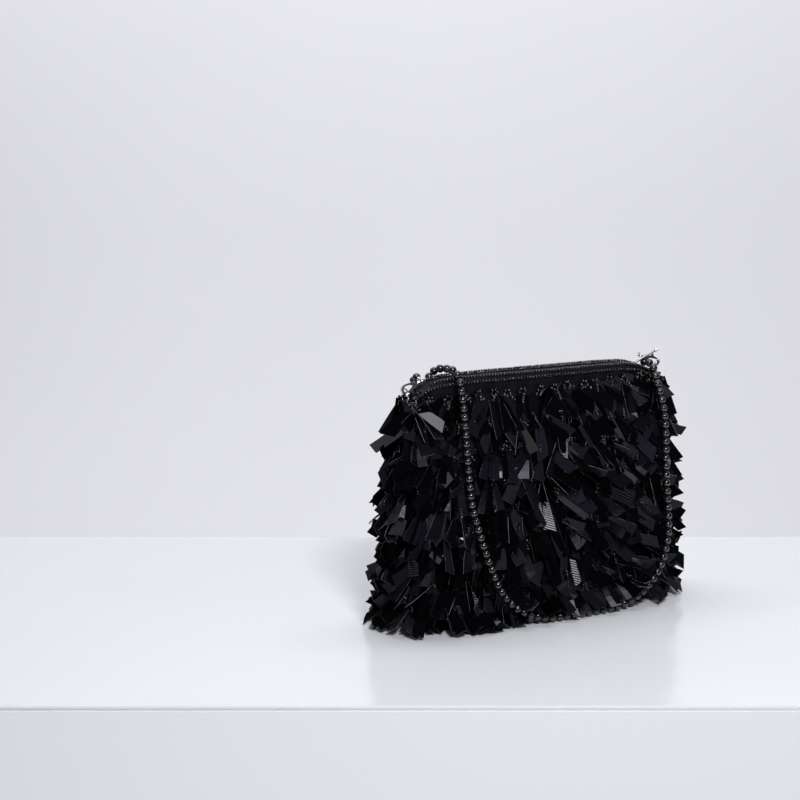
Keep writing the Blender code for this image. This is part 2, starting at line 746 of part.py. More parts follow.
def make_end_cap(hand):
    """A small bell that hides the strap's knot, with a loop through the swivel eye."""
    name = f"strap_end_cap_{hand}"
    place = eye_frame(hand)
    pull = cap_direction(hand)
    axis = place.to_3x3().col[2].normalized()
    turn = Matrix((pull, axis, pull.cross(axis))).transposed().to_4x4()
    centre = place.translation + pull * EYE_RADIUS
    local = Matrix.Translation(centre) @ turn
    bm = torus_mesh(CAP_LOOP, CAP_WIRE, 18, 8)
    cap = add_object(name, mesh_from(name, bm), "silver", local)
    bell = bmesh.new()
    aim = Matrix.Rotation(math.pi / 2, 4, "Y")
    aim = Matrix.Translation((CAP_LOOP - 0.0001 + CAP_LENGTH / 2, 0, 0)) @ aim
    bmesh.ops.create_cone(
        bell,
        cap_ends=True,
        segments=16,
        radius1=CAP_NECK,
        radius2=CAP_MOUTH,
        depth=CAP_LENGTH,
        matrix=aim,
    )
    boolean(cap, cutter(f"bell_{hand}", bell, local), "UNION")


# ---- strap ----------------------------------------------------------------------------
def smooth_route(points, count):
    """Evenly spaced points on a smooth curve through the route's own points."""
    knots = [2 * points[0] - points[1], *points, 2 * points[-1] - points[-2]]
    fine = []
    for a, b, c, d in zip(knots, knots[1:], knots[2:], knots[3:], strict=False):
        for t in np.linspace(0, 1, 24, endpoint=False):
            fine.append(
                0.5
                * (
                    2 * b
                    + (c - a) * t
                    + (2 * a - 5 * b + 4 * c - d) * t**2
                    + (3 * b - a - 3 * c + d) * t**3
                )
            )
    fine.append(points[-1])
    fine = np.array(fine)
    length = np.concatenate([[0], np.cumsum(np.linalg.norm(np.diff(fine, axis=0), axis=1))])
    at = np.linspace(0, length[-1], count)
    return np.stack([np.interp(at, length, fine[:, k]) for k in range(3)], axis=1)


def make_strap():
    ends = {}
    for hand in ("left", "right"):
        start = strap_end(hand)
        ends[hand] = [np.array(start), np.array(start + cap_direction(hand) * 0.0025)]
    route = [*ends["left"], *(np.array(point) / 1000 for point in STRAP_ROUTE_MM)]
    route += reversed(ends["right"])
    curve = bpy.data.curves.new("bead_strap", "CURVE")
    curve.dimensions = "3D"
    curve.bevel_depth = BEAD / 2
    curve.bevel_resolution = 2
    curve.use_fill_caps = True
    spline = curve.splines.new("POLY")
    places = smooth_route(route, STRAP_POINTS)
    spline.points.add(len(places) - 1)
    for point, place in zip(spline.points, places, strict=True):
        point.co = (*place, 1)
    add_object("bead_strap", curve, "glass_bead")


def main():
    clear_scene()
    for word, side in (("front", -1), ("back", 1)):
        make_panel(f"shell_{word}_panel", side)
        make_tape(f"zip_tape_{word}", side)
        make_teeth(f"zip_teeth_{word}", side)
        make_hem(f"hem_beads_{word}", side)
        for number in range(ROWS):
            make_sequin_row(number, side)
    make_gusset()
    make_board()
    make_lining()
    make_slider()
    make_pull()
    make_stops()
    make_end_tabs()
    for hand, out in (("left", -1), ("right", 1)):
        make_braid(f"side_braid_{hand}", out)
        make_tab(hand)
        make_ring(hand)
        make_clasp(hand)
        make_end_cap(hand)
    make_strap()
    bpy.context.view_layer.update()


main()
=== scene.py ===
# The looks of a small black evening purse: beaded hems, rows of long loose sequins and a
# strap of glass beads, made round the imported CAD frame. Metres, +Z up, front towards -Y.
import json
import math
import random
from collections import namedtuple

import bmesh
import bpy
import numpy as np
from mathutils import Matrix, Vector


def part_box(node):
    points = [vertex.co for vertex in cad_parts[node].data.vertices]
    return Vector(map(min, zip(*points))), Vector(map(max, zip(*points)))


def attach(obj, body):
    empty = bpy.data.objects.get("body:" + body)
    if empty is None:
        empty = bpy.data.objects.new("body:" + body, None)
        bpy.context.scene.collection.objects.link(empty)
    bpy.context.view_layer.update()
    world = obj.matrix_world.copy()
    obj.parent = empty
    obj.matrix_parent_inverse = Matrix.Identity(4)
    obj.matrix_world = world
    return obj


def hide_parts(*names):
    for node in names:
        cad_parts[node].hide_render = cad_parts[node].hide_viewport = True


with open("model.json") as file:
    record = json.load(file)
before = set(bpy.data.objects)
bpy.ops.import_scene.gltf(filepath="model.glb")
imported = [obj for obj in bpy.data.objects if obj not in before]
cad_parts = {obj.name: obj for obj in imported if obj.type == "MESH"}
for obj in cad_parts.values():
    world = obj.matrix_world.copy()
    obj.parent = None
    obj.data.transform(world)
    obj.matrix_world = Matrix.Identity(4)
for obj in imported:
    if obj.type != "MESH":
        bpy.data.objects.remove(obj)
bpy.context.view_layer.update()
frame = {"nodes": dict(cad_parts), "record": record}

# ---- sizes of the pouch, as in the CAD model ------------------------------------------
HALF_WIDTH = 0.1000
MOUTH_Z = 0.1730
FRONT_TOP = 0.1760  # heights of the mouth's two edges
BACK_TOP = 0.1745
MOUTH_TILT = 0.0017  # how far the mouth sinks from its middle to its right end
CORNER_DROP = 0.0150  # how much further its two ends sink
CORNER_POWER = 10  # the higher, the closer to the ends that happens
MOUTH_HALF_GAP = 0.0067
BASE_HALF_DEPTH = 0.0275
SEAM_HALF_GAP = 0.0016
BOTTOM_ROUNDING = 0.0090
LEAN = 0.0050  # how far the mouth lies to the right of the base
CENTRE_X = -0.0006
FABRIC = 0.0008

# ---- beads ----------------------------------------------------------------------------
SEED = 0.0021  # seed beads of the hems, braids and clusters
BEAD = 0.0060  # beads of the strap
BEAD_PITCH = BEAD * 1.005
THREAD = 0.0012
HEM_END = 0.95  # share of the half width that the hems' beads reach
FRONT_HEM = (0.5, 2.35), 0.00235  # rows, in beads below the edge, and spacing along them
BACK_HEM = (-0.30, 0.62, 1.62), SEED * 0.96
BRAID_STEP = SEED * 0.92
BRAID_OUT = 0.0012  # from the seam to the middle of the braid
BRAID_RADIUS = (0.0006, 0.0017)  # of its three strands, in X and in Y

# ---- sequins --------------------------------------------------------------------------
TOP_ROW_Z = 0.1632  # the sewn line of the highest row
ROW_STEP = 0.0183
ROWS = 8
CLUSTERS = 17  # in one row, besides one at each seam
STRIP_WIDTH = (0.0072, 0.0102)  # a long sequin, from the least to the most
STRIP_LENGTH = (0.0220, 0.0300)
STRIP_THICKNESS = 0.00034
CUP_SIZE = (0.0066, 0.0080)  # the round sequin in the middle of a cluster
CUP_RING = 0.0023  # radius of the ring of seed beads on it
TRIES = 12  # how often a sequin that hits something is hung again
SHRINK = 0.035  # how much shorter it is each time
SWAY = 20  # degrees of spread, in the plane of the wall
TWIST = 24  # degrees of spread, about its own length
SIDE_PUSH = 25  # degrees that sequins near the side seams lean outwards
PARTING = 0.36  # share of the width where they hang straight down
SEAM_SHARE = 0.03  # share of the width that belongs to a seam
SEAM_FLARE = (3, 3.6)  # degrees that those at a seam stand off, in the top row and per row
WIDEST = (0.1280, 0.0570)  # no sequin reaches further from the middle than this
HIGHEST = TOP_ROW_Z + 0.0045
FLOOR_GAP = 0.0006
STRAP_CLEARANCE = 0.0036  # from the strap's centre line to any sequin
METAL_CLEARANCE = 0.0075  # from the middle of a ring or a clasp to any sequin or hem bead

# ---- strap's route --------------------------------------------------------------------
STRAP_ROUTE_MM = [  # its centre, from the left clasp to the right clasp
    (-85.9, 4.7, 175.9),
    (-85.7, 7.2, 176.0),
    (-85.8, 9.7, 175.8),
    (-84.8, 13.5, 171.7),
    (-80.6, 15.6, 168.2),
    (-75.6, 15.2, 170.4),
    (-72.2, 12.4, 175.6),
    (-70.2, 8.0, 180.2),
    (-67.6, 2.8, 181.4),
    (-65.6, -3.2, 181.9),
    (-64.6, -9.9, 180.9),
    (-63.8, -14.6, 175.8),
    (-63.0, -16.6, 165.0),
    (-63.0, -20.4, 152.0),
    (-63.6, -26.0, 125.0),
    (-62.8, -31.2, 94.0),
    (-60.0, -34.0, 78.0),
    (-56.0, -36.4, 62.0),
    (-50.4, -39.0, 44.0),
    (-43.0, -41.0, 27.0),
    (-32.0, -42.4, 14.4),
    (-18.0, -43.0, 7.2),
    (-2.0, -43.2, 3.9),
    (24.0, -43.2, 3.3),
    (50.0, -42.8, 3.7),
    (68.0, -41.6, 8.4),
    (81.0, -39.6, 16.0),
    (91.0, -37.4, 27.0),
    (97.0, -35.6, 42.0),
    (99.6, -33.6, 58.0),
    (99.2, -29.4, 94.0),
    (100.2, -25.0, 128.0),
    (100.0, -22.0, 142.0),
    (98.8, -18.2, 154.0),
    (98.4, -13.6, 163.2),
    (98.8, -9.4, 169.3),
    (98.6, -4.9, 171.5),
    (98.3, -0.9, 171.6),
    (97.8, 1.8, 171.3),
    (98.1, 4.0, 172.4),
]


# ---- camera, floor and light ----------------------------------------------------------
CAMERA_AZIMUTH = math.radians(-26.6)
CAMERA_ELEVATION = math.radians(12.7)
CAMERA_DISTANCE = 1.377
CAMERA_TARGET = Vector((-0.1024, 0.0, 0.1631))
TABLE_BACK = 0.220  # from the camera's target to the edges of the table top
TABLE_FRONT = 0.157
TABLE_HEIGHT = 0.30


def towards(azimuth, elevation):
    """Unit vector from the purse to a viewer at these angles."""
    level = math.cos(elevation)
    return Vector((math.sin(azimuth) * level, -math.cos(azimuth) * level, math.sin(elevation)))


def aim(obj, place, target):
    obj.location = place
    obj.rotation_euler = (Vector(target) - Vector(place)).to_track_quat("-Z", "Y").to_euler()


def make_camera():
    data = bpy.data.cameras.new("camera")
    data.lens = 90
    data.sensor_width = 36
    data.clip_start = 0.01
    data.clip_end = 50
    camera = bpy.data.objects.new("camera", data)
    bpy.context.scene.collection.objects.link(camera)
    place = CAMERA_TARGET + towards(CAMERA_AZIMUTH, CAMERA_ELEVATION) * CAMERA_DISTANCE
    aim(camera, place, CAMERA_TARGET)
    bpy.context.scene.camera = camera


def add_light(name, place, target, size, power, colour=(1, 1, 1)):
    data = bpy.data.lights.new(name, "AREA")
    data.shape = "RECTANGLE"
    data.size, data.size_y = size
    data.energy = power
    data.color = colour
    light = bpy.data.objects.new(name, data)
    bpy.context.scene.collection.objects.link(light)
    aim(light, place, target)


# ---- shader helpers -------------------------------------------------------------------
def new_material(name):
    made = bpy.data.materials.new(name)
    made.use_nodes = True
    tree = made.node_tree
    return made, tree, tree.nodes["Principled BSDF"]


def object_coordinates(tree):
    return tree.nodes.new("ShaderNodeTexCoord").outputs["Object"]


def noise(tree, scale, detail=3.0):
    node = tree.nodes.new("ShaderNodeTexNoise")
    node.inputs["Scale"].default_value = scale
    node.inputs["Detail"].default_value = detail
    tree.links.new(object_coordinates(tree), node.inputs["Vector"])
    return node.outputs["Fac"]


def spread(tree, value, low, high, start=0.3, end=0.7):
    """A value that runs from low to high as the input runs from start to end."""
    node = tree.nodes.new("ShaderNodeMapRange")
    node.inputs["From Min"].default_value = start
    node.inputs["From Max"].default_value = end
    node.inputs["To Min"].default_value = low
    node.inputs["To Max"].default_value = high
    tree.links.new(value, node.inputs["Value"])
    return node.outputs["Result"]


def blend_colours(tree, factor, low, high):
    node = tree.nodes.new("ShaderNodeMix")
    node.data_type = "RGBA"
    node.inputs[6].default_value = (*low, 1)
    node.inputs[7].default_value = (*high, 1)
    tree.links.new(factor, node.inputs["Factor"])
    return node.outputs[2]


def multiply(tree, a, b):
    node = tree.nodes.new("ShaderNodeMath")
    node.operation = "MULTIPLY"
    tree.links.new(a, node.inputs[0])
    tree.links.new(b, node.inputs[1])
    return node.outputs["Value"]


def add_bump(tree, shader, height, strength, distance):
    node = tree.nodes.new("ShaderNodeBump")
    node.inputs["Strength"].default_value = strength
    node.inputs["Distance"].default_value = distance
    tree.links.new(height, node.inputs["Height"])
    tree.links.new(node.outputs["Normal"], shader.inputs["Normal"])


def ribs(tree, pitch, direction):
    """Fine even ribs, pitch metres apart."""
    node = tree.nodes.new("ShaderNodeTexWave")
    node.bands_direction = direction
    node.inputs["Scale"].default_value = 0.314 / pitch
    node.inputs["Distortion"].default_value = 0.6
    node.inputs["Detail"].default_value = 1.0
    tree.links.new(object_coordinates(tree), node.inputs["Vector"])
    return node.outputs["Fac"]


def read_attribute(tree, name):
    node = tree.nodes.new("ShaderNodeAttribute")
    node.attribute_name = name
    return node.outputs["Fac"]


def link(tree, value, shader, socket):
    tree.links.new(value, shader.inputs[socket])


def glass_bead_material(name, scale):
    """Opaque black glass: nearly a mirror, with faint waviness and dust."""
    made, tree, shader = new_material(name)
    dark, light = (0.0008, 0.0008, 0.0012), (0.0026, 0.0026, 0.0036)
    link(tree, blend_colours(tree, noise(tree, scale), dark, light), shader, "Base Color")
    link(tree, spread(tree, noise(tree, scale * 4), 0.02, 0.07), shader, "Roughness")
    shader.inputs["IOR"].default_value = 1.75
    add_bump(tree, shader, noise(tree, scale * 2.2), 0.06, 0.0002)
    return made


def paillette_material():
    """Thin black film. tone, one number for each sequin, sets how grey and dull it is, and
    ribbed is 1 on those that are pressed in fine ribs."""
    made, tree, shader = new_material("paillette_film")
    tone = read_attribute(tree, "tone")
    dark, light = (0.0003, 0.0003, 0.0005), (0.0110, 0.0112, 0.0170)
    link(tree, blend_colours(tree, tone, dark, light), shader, "Base Color")
    base = spread(tree, tone, 0.10, 0.28, 0.0, 1.0)
    uneven = spread(tree, noise(tree, 260), 0.9, 1.15)
    link(tree, multiply(tree, base, uneven), shader, "Roughness")
    shader.inputs["Specular IOR Level"].default_value = 0.17
    shader.inputs["Specular Tint"].default_value = (0.90, 0.90, 1.0, 1.0)
    wave = ribs(tree, 0.0011, "DIAGONAL")
    add_bump(tree, shader, multiply(tree, wave, read_attribute(tree, "ribbed")), 0.5, 0.0003)
    return made


def satin_material(name, light, dark, pitch=0.00035):
    made, tree, shader = new_material(name)
    # the lighter colour, laid in cloudy patches over the darker one, is painted sheen; the darker one
    # is the cloth's own near-black tone
    sheen_patches = spread(tree, noise(tree, 55, 4), 0.0, 1.0, 0.35, 0.7)
    link(tree, blend_colours(tree, sheen_patches, dark, light), shader, "Base Color")
    link(tree, spread(tree, noise(tree, 120), 0.44, 0.62), shader, "Roughness")
    shader.inputs["Specular IOR Level"].default_value = 0.15
    shader.inputs["Sheen Weight"].default_value = 0.03
    shader.inputs["Sheen Roughness"].default_value = 0.35
    shader.inputs["Anisotropic"].default_value = 0.4
    weave = multiply(tree, ribs(tree, pitch, "X"), ribs(tree, pitch, "Z"))
    add_bump(tree, shader, weave, 0.35, 0.0001)
    return made


def metal_material():
    made, tree, shader = new_material("silver_metal")
    shade = spread(tree, noise(tree, 400, 4), 0.0, 1.0)
    tint = blend_colours(tree, shade, (0.36, 0.36, 0.37), (0.60, 0.60, 0.62))
    link(tree, tint, shader, "Base Color")
    link(tree, spread(tree, noise(tree, 900), 0.10, 0.24), shader, "Roughness")
    shader.inputs["Metallic"].default_value = 1.0
    add_bump(tree, shader, noise(tree, 1500, 2), 0.08, 0.0001)
    return made


def plain_material(name, dark, light, rough, scale, strength=0.2):
    made, tree, shader = new_material(name)
    patch = noise(tree, scale, 4)
    shade = blend_colours(tree, spread(tree, patch, 0.0, 1.0), dark, light)
    link(tree, shade, shader, "Base Color")
    link(tree, spread(tree, patch, rough * 0.85, rough * 1.15), shader, "Roughness")
    add_bump(tree, shader, noise(tree, scale * 6, 4), strength, 0.0002)
    return made


# ---- the pouch's own shape, as in the CAD model ---------------------------------------
def middle_x(z):
    return CENTRE_X + LEAN * z / MOUTH_Z


def down(z):
    """0 at the mouth, 1 at the floor."""
    return min(max((MOUTH_Z - z) / MOUTH_Z, 0.0), 1.0)


def pulled_in(z):
    if z >= BOTTOM_ROUNDING:
        return 0.0
    rise = BOTTOM_ROUNDING - max(z, 0.0)
    return BOTTOM_ROUNDING - math.sqrt(BOTTOM_ROUNDING**2 - rise**2)


def outline(z, steps=160):
    """The front half of the section at height z and the share of its length at each point."""
    depth = MOUTH_HALF_GAP + (BASE_HALF_DEPTH - MOUTH_HALF_GAP) * down(z) ** 0.85
    depth -= 0.6 * pulled_in(z)
    width = HALF_WIDTH - 0.6 * pulled_in(z)
    power = 0.75 - 0.33 * down(z) ** 0.6
    turn = np.linspace(math.pi, 0.0, steps)
    across = np.sign(np.cos(turn)) * np.abs(np.cos(turn)) ** power
    out = np.abs(np.sin(turn)) ** power
    x = middle_x(z) + width * across
    y = -(SEAM_HALF_GAP + (depth - SEAM_HALF_GAP) * out)
    length = np.concatenate([[0.0], np.cumsum(np.hypot(np.diff(x), np.diff(y)))])
    return x, y, length / length[-1]


def section(share, z):
    x, y, along = outline(z)
    return float(np.interp(share, along, x)), float(np.interp(share, along, y))


def mouth_z(x, side):
    middle = FRONT_TOP if side < 0 else BACK_TOP
    across = (x - middle_x(MOUTH_Z)) / HALF_WIDTH
    return middle - MOUTH_TILT * across - CORNER_DROP * abs(across) ** CORNER_POWER


def skin(share, z, side, lift):
    """A point of the pouch's wall moved outwards by lift, and the way to the right seam and
    the way out there. side is -1 for the front and +1 for the back."""
    step = 0.004
    x, y, along = outline(z)
    shares = (max(share - step, 0.0), share, min(share + step, 1.0))
    left, here, right = [
        Vector((float(np.interp(s, along, x)), float(np.interp(s, along, y)), 0)) for s in shares
    ]
    way = (right - left).normalized()
    out = Vector((way.y, -way.x, 0))
    point = Vector((here.x, here.y, z)) + out * lift
    if side > 0:
        point.y, way.y, out.y = -point.y, -way.y, -out.y
    return point, way, out


# ---- mesh helpers ---------------------------------------------------------------------
class Heap:
    """Collects many small closed shapes into one mesh."""

    def __init__(self):
        self.points, self.faces, self.slots = [], [], []
        self.numbers = {}
        self.count = 0

    def add(self, points, faces, slots=None, **numbers):
        points = np.asarray(points)
        self.points.append(points)
        self.faces += [tuple(i + self.count for i in face) for face in faces]
        self.slots += slots or [0] * len(faces)
        for key, value in numbers.items():
            self.numbers.setdefault(key, []).append(np.full(len(points), value))
        self.count += len(points)

    def build(self, name, body, slot, materials, smooth=True):
        mesh = bpy.data.meshes.new(name)
        mesh.from_pydata(np.concatenate(self.points).tolist(), [], self.faces)
        for made in materials:
            mesh.materials.append(made)
        mesh.polygons.foreach_set("material_index", self.slots)
        for key, parts in self.numbers.items():
            layer = mesh.attributes.new(key, "FLOAT", "POINT")
            layer.data.foreach_set("value", np.concatenate(parts))
        if smooth:
            mesh.shade_smooth()
        mesh.update()
        obj = bpy.data.objects.new(name, mesh)
        bpy.context.scene.collection.objects.link(obj)
        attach(obj, body)
        return obj


def shape_of(bm):
    bmesh.ops.recalc_face_normals(bm, faces=bm.faces)
    bm.verts.index_update()
    points = np.array([v.co[:] for v in bm.verts])
    faces = [[v.index for v in f.verts] for f in bm.faces]
    bm.free()
    return points, faces


def ball_shape(around, along, squeeze, dimple):
    """A bead of diameter 1, flattened along Z, with the mouths of its hole at the poles."""
    bm = bmesh.new()
    bmesh.ops.create_uvsphere(bm, u_segments=around, v_segments=along, radius=0.5)
    for vert in bm.verts:
        if abs(vert.co.z) > 0.47:
            vert.co.z *= 1 - dimple
        vert.co.z *= squeeze
    return shape_of(bm)


def axes(way, out):
    """3x3 array whose columns are across, out made square to way, and way."""
    way = np.asarray(way) / np.linalg.norm(way)
    out = np.asarray(out) - way * np.dot(out, way)
    out = out / np.linalg.norm(out)
    return np.stack([np.cross(out, way), out, way], axis=1)


def placed(shape, centre, size, turn):
    points, faces = shape
    return (points * size) @ turn.T + np.asarray(centre), faces


BALL_FINE = ball_shape(22, 14, 0.98, 0.10)
BALL_SEED = ball_shape(10, 7, 0.80, 0.12)


def any_side(way):
    """A direction that lies well apart from way."""
    way = np.asarray(way)
    along_x = abs(way[0]) >= 0.8 * np.linalg.norm(way)
    return np.array([0.0, 1.0, 0.0]) if along_x else np.array([1.0, 0.0, 0.0])


def add_bead(heap, shape, centre, size, way):
    heap.add(*placed(shape, centre, size, axes(way, any_side(way))))


def evenly(points, spacing=None, count=None):
    """Points spaced evenly along a polyline, and its direction at each."""
    points = np.asarray(points)
    length = np.concatenate([[0], np.cumsum(np.linalg.norm(np.diff(points, axis=0), axis=1))])
    if count is None:
        count = max(int(round(length[-1] / spacing)) + 1, 2)
    at = np.linspace(0, length[-1], count)
    made = np.stack([np.interp(at, length, points[:, k]) for k in range(3)], axis=1)
    return made, np.gradient(made, axis=0), float(length[-1])


# ---- strap ----------------------------------------------------------------------------
def smooth_route(points, count):
    """Evenly spaced points on a smooth curve through the route's own points."""
    knots = [2 * points[0] - points[1], *points, 2 * points[-1] - points[-2]]
    fine = []
    for a, b, c, d in zip(knots, knots[1:], knots[2:], knots[3:], strict=False):
        for t in np.linspace(0, 1, 24, endpoint=False):
            rise = (2 * a - 5 * b + 4 * c - d) * t**2 + (3 * b - a - 3 * c + d) * t**3
            fine.append(0.5 * (2 * b + (c - a) * t + rise))
    fine.append(points[-1])
    return evenly(fine, count=count)


ROUTE = [np.array(point) / 1000 for point in STRAP_ROUTE_MM]
STRAP_LINE, _, STRAP_LENGTH = smooth_route(ROUTE, 420)


def make_strap(materials):
    """Round glass beads threaded side by side, with the thread through them."""
    data = bpy.data.curves.new("strap_thread", "CURVE")
    data.dimensions = "3D"
    data.bevel_depth = THREAD / 2
    data.bevel_resolution = 2
    data.use_fill_caps = True
    spline = data.splines.new("POLY")
    places = smooth_route(ROUTE, 161)[0]
    spline.points.add(len(places) - 1)
    for point, place in zip(spline.points, places, strict=True):
        point.co = (*place, 1)
    data.materials.append(materials["thread"])
    thread = bpy.data.objects.new("strap_thread", data)
    bpy.context.scene.collection.objects.link(thread)
    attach(thread, "purse")

    heap = Heap()
    count = int(STRAP_LENGTH / BEAD_PITCH)
    centres, ways, _ = smooth_route(ROUTE, 2 * count + 1)
    for k in range(count):
        size = BEAD * (0.985 + 0.015 * math.sin(k * 2.4))
        add_bead(heap, BALL_FINE, centres[2 * k + 1], size, ways[2 * k + 1])
    beads = heap.build("strap_beads", "purse", "glass_bead", [materials["bead_large"]])
    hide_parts("bead_strap")


# ---- pouch ----------------------------------------------------------------------------
def crumple(share, z):
    """Soft uneven folds that run down from the hem, 0.45 mm deep."""
    fold = math.sin(share * 61 + 2 * math.sin(share * 17)) * 0.6
    fold += math.sin(share * 23 + z * 90) * 0.4
    return 0.00045 * fold


def make_satin(name, side, material, node):
    """One wall of the pouch, smooth at its edges and lightly folded between them."""
    columns, rows = 110, 34
    bm = bmesh.new()
    bmesh.ops.create_grid(bm, x_segments=columns, y_segments=rows, size=0.5)
    low = 0.0022
    for vert in bm.verts:
        share, v = vert.co.x + 0.5, vert.co.y + 0.5
        top = mouth_z(section(share, MOUTH_Z)[0], side)
        z = low + (top - low) * v**1.3
        ease = min(1.0, (top - z) / 0.006, share / 0.03, (1 - share) / 0.03)
        vert.co = skin(share, z, side, crumple(share, z) * max(ease, 0.0))[0]
    bm.normal_update()
    face = max(bm.faces, key=lambda f: abs(f.normal.y))
    if face.normal.y * side < 0:
        bmesh.ops.reverse_faces(bm, faces=bm.faces)
    mesh = bpy.data.meshes.new(name)
    bm.to_mesh(mesh)
    bm.free()
    mesh.materials.append(material)
    mesh.shade_smooth()
    panel = bpy.data.objects.new(name, mesh)
    bpy.context.scene.collection.objects.link(panel)
    solid = panel.modifiers.new("thickness", "SOLIDIFY")
    solid.thickness = FABRIC
    solid.offset = -1
    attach(panel, "purse")
    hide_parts(node)


def make_hem(name, side, material, node):
    """Rows of seed beads sewn along the mouth's edge: two apart on the front, and three close
    together on the back, the highest of them on top of the edge."""
    heap = Heap()
    rng = random.Random(name)
    x_all, _, along = outline(MOUTH_Z)
    reach = [middle_x(MOUTH_Z) + end * HEM_END * HALF_WIDTH for end in (-1, 1)]
    first, last = [float(np.interp(x, x_all, along)) for x in reach]
    rows, spacing = FRONT_HEM if side < 0 else BACK_HEM
    for row in rows:
        line = []
        for share in np.linspace(first, last, 90):
            top = mouth_z(section(share, MOUTH_Z)[0], side) + 0.0003
            stand = 0.0006 + SEED / 2 if row > 0 else 0.0002
            line.append(skin(share, top - SEED * row, side, stand)[0])
        centres, ways, _ = evenly(line, spacing=spacing)
        for centre, way in zip(centres, ways, strict=True):
            shift = np.array([rng.uniform(-1, 1) for _ in range(3)]) * 0.00012
            lean = way / np.linalg.norm(way) + shift * 1500
            if clears_metal(centre[None, :]):
                size = SEED * rng.uniform(0.95, 1.06)
                add_bead(heap, BALL_SEED, centre + shift, size, lean)
    hem = heap.build(name, "purse", "glass_bead", [material])
    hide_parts(node)


def make_braid(name, out, material, node):
    """Seed beads in a braid of three strands down the side seam."""
    heap = Heap()
    rng = random.Random(name)
    low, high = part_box(node)
    bottom, top = low[2] + SEED / 2, high[2] - SEED / 2
    steps = int((top - bottom) / BRAID_STEP)
    for k in range(steps + 1):
        z = bottom + (top - bottom) * k / steps
        for strand in range(3):
            swing = math.sin(k * 0.9 + strand * 2 * math.pi / 3)
            bulge = math.cos(k * 0.9 + strand * 2 * math.pi / 3)
            x = middle_x(z) + out * (HALF_WIDTH + BRAID_OUT + BRAID_RADIUS[0] * bulge)
            centre = (x, BRAID_RADIUS[1] * swing, z + rng.uniform(-1, 1) * 0.0001)
            way = (0.2 * bulge, 0.7 * math.cos(k * 0.9 + strand * 2.1), 1)
            add_bead(heap, BALL_SEED, centre, SEED * 0.93, way)
    braid = heap.build(name, "purse", "glass_bead", [material])
    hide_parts(node)


# ---- sequins --------------------------------------------------------------------------
STRIP_ACROSS = np.array([-0.5, 0.0, 0.5])
STRIP_ALONG = np.linspace(0.0, 1.0, 6)


def strip_faces():
    """Faces of a thin closed plate: a front grid, a back grid and the rim between them."""
    columns, rows = len(STRIP_ACROSS), len(STRIP_ALONG)
    back = columns * rows
    faces = []
    for r in range(rows - 1):
        for c in range(columns - 1):
            a = r * columns + c
            quad = (a, a + 1, a + columns + 1, a + columns)
            faces.append(quad)
            faces.append(tuple(back + i for i in reversed(quad)))
    rim = list(range(columns))
    rim += [r * columns + columns - 1 for r in range(1, rows)]
    rim += [(rows - 1) * columns + c for c in range(columns - 2, -1, -1)]
    rim += [r * columns for r in range(rows - 2, 0, -1)]
    for a, b in zip(rim, rim[1:] + rim[:1], strict=True):
        faces.append((b, a, back + a, back + b))
    return faces


STRIP_FACES = strip_faces()
FLAT_FACES = 2 * (len(STRIP_ACROSS) - 1) * (len(STRIP_ALONG) - 1)
PLAIN_EDGE = [0] * len(STRIP_FACES)
# rims in a light grey: painted glint that stands in for sequin edges catching the light
GLINT_PAINTED_EDGE = [0] * FLAT_FACES + [1] * (len(STRIP_FACES) - FLAT_FACES)


def strip_points(width, length, taper, skew, bend, fold):
    """A strip that hangs along +Z from its sewn end, faces +Y, and bends out of its plane."""
    points = []
    for layer in (0.5, -0.5):
        for t in STRIP_ALONG:
            wide = width * (taper + (1 - taper) * min(t * 1.4, 1.0))
            for a in STRIP_ACROSS:
                y = bend * length * (t - 0.5) ** 2 + fold * abs(a) * wide
                y += layer * STRIP_THICKNESS
                z = t * length + skew * a * wide * (1 if t == 1.0 else 0.0)
                points.append((a * wide, y, z))
    return np.array(points)


def cup_shape():
    """A round sequin with a raised rim, facing +Z, diameter 1, hollow side out."""
    rings = [(0.5, 0.10), (0.36, -0.02), (0.12, -0.06)]
    points, faces = [], []
    segments = 14
    for layer in (0.0, -0.04):
        for radius, rise in rings:
            for k in range(segments):
                turn = 2 * math.pi * k / segments
                points.append((radius * math.cos(turn), radius * math.sin(turn), rise + layer))
    half = segments * len(rings)
    for ring in range(len(rings) - 1):
        for k in range(segments):
            n = (k + 1) % segments
            a, b = ring * segments + k, ring * segments + n
            quad = (a, b, b + segments, a + segments)
            faces.append(quad)
            faces.append(tuple(half + i for i in reversed(quad)))
    for ring, order in ((0, 1), (len(rings) - 1, -1)):
        for k in range(segments):
            n = (k + 1) % segments
            a, b = ring * segments + k, ring * segments + n
            quad = (a, half + a, half + b, b)
            faces.append(quad[::order])
    return np.array(points), faces


CUP = cup_shape()


def middle_of(node):
    low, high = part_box(node)
    return (np.array(low) + np.array(high)) / 2


METAL_PARTS = ("ring", "clasp_body", "swivel_eye", "strap_end_cap")
METAL = [middle_of(f"{part}_{hand}") for part in METAL_PARTS for hand in ("left", "right")]


def clears_metal(points):
    """Whether a piece leaves the rings, the clasps and their ends room to move."""
    return all(np.linalg.norm(points - place, axis=1).min() > METAL_CLEARANCE for place in METAL)


def is_free(points):
    """Whether a piece stays inside its limits and clears the floor, strap and metal."""
    if points[:, 2].min() < FLOOR_GAP:
        return False
    if (np.abs(points[:, :2]) > WIDEST).any():
        return False
    if points[:, 2].max() > HIGHEST:
        return False
    gap = np.linalg.norm(points[:, None, :] - STRAP_LINE[None, :, :], axis=2).min()
    if gap < STRAP_CLEARANCE:
        return False
    return clears_metal(points)


Spot = namedtuple("Spot", "place right out facing level push flare")
UP = np.array([0.0, 0.0, 1.0])


def swung(spot, sideways, outwards):
    """The way down from a spot, swung sideways along the wall and outwards from it."""
    along = math.sin(sideways) * spot.right - math.cos(sideways) * UP
    return math.cos(outwards) * along + math.sin(outwards) * spot.out


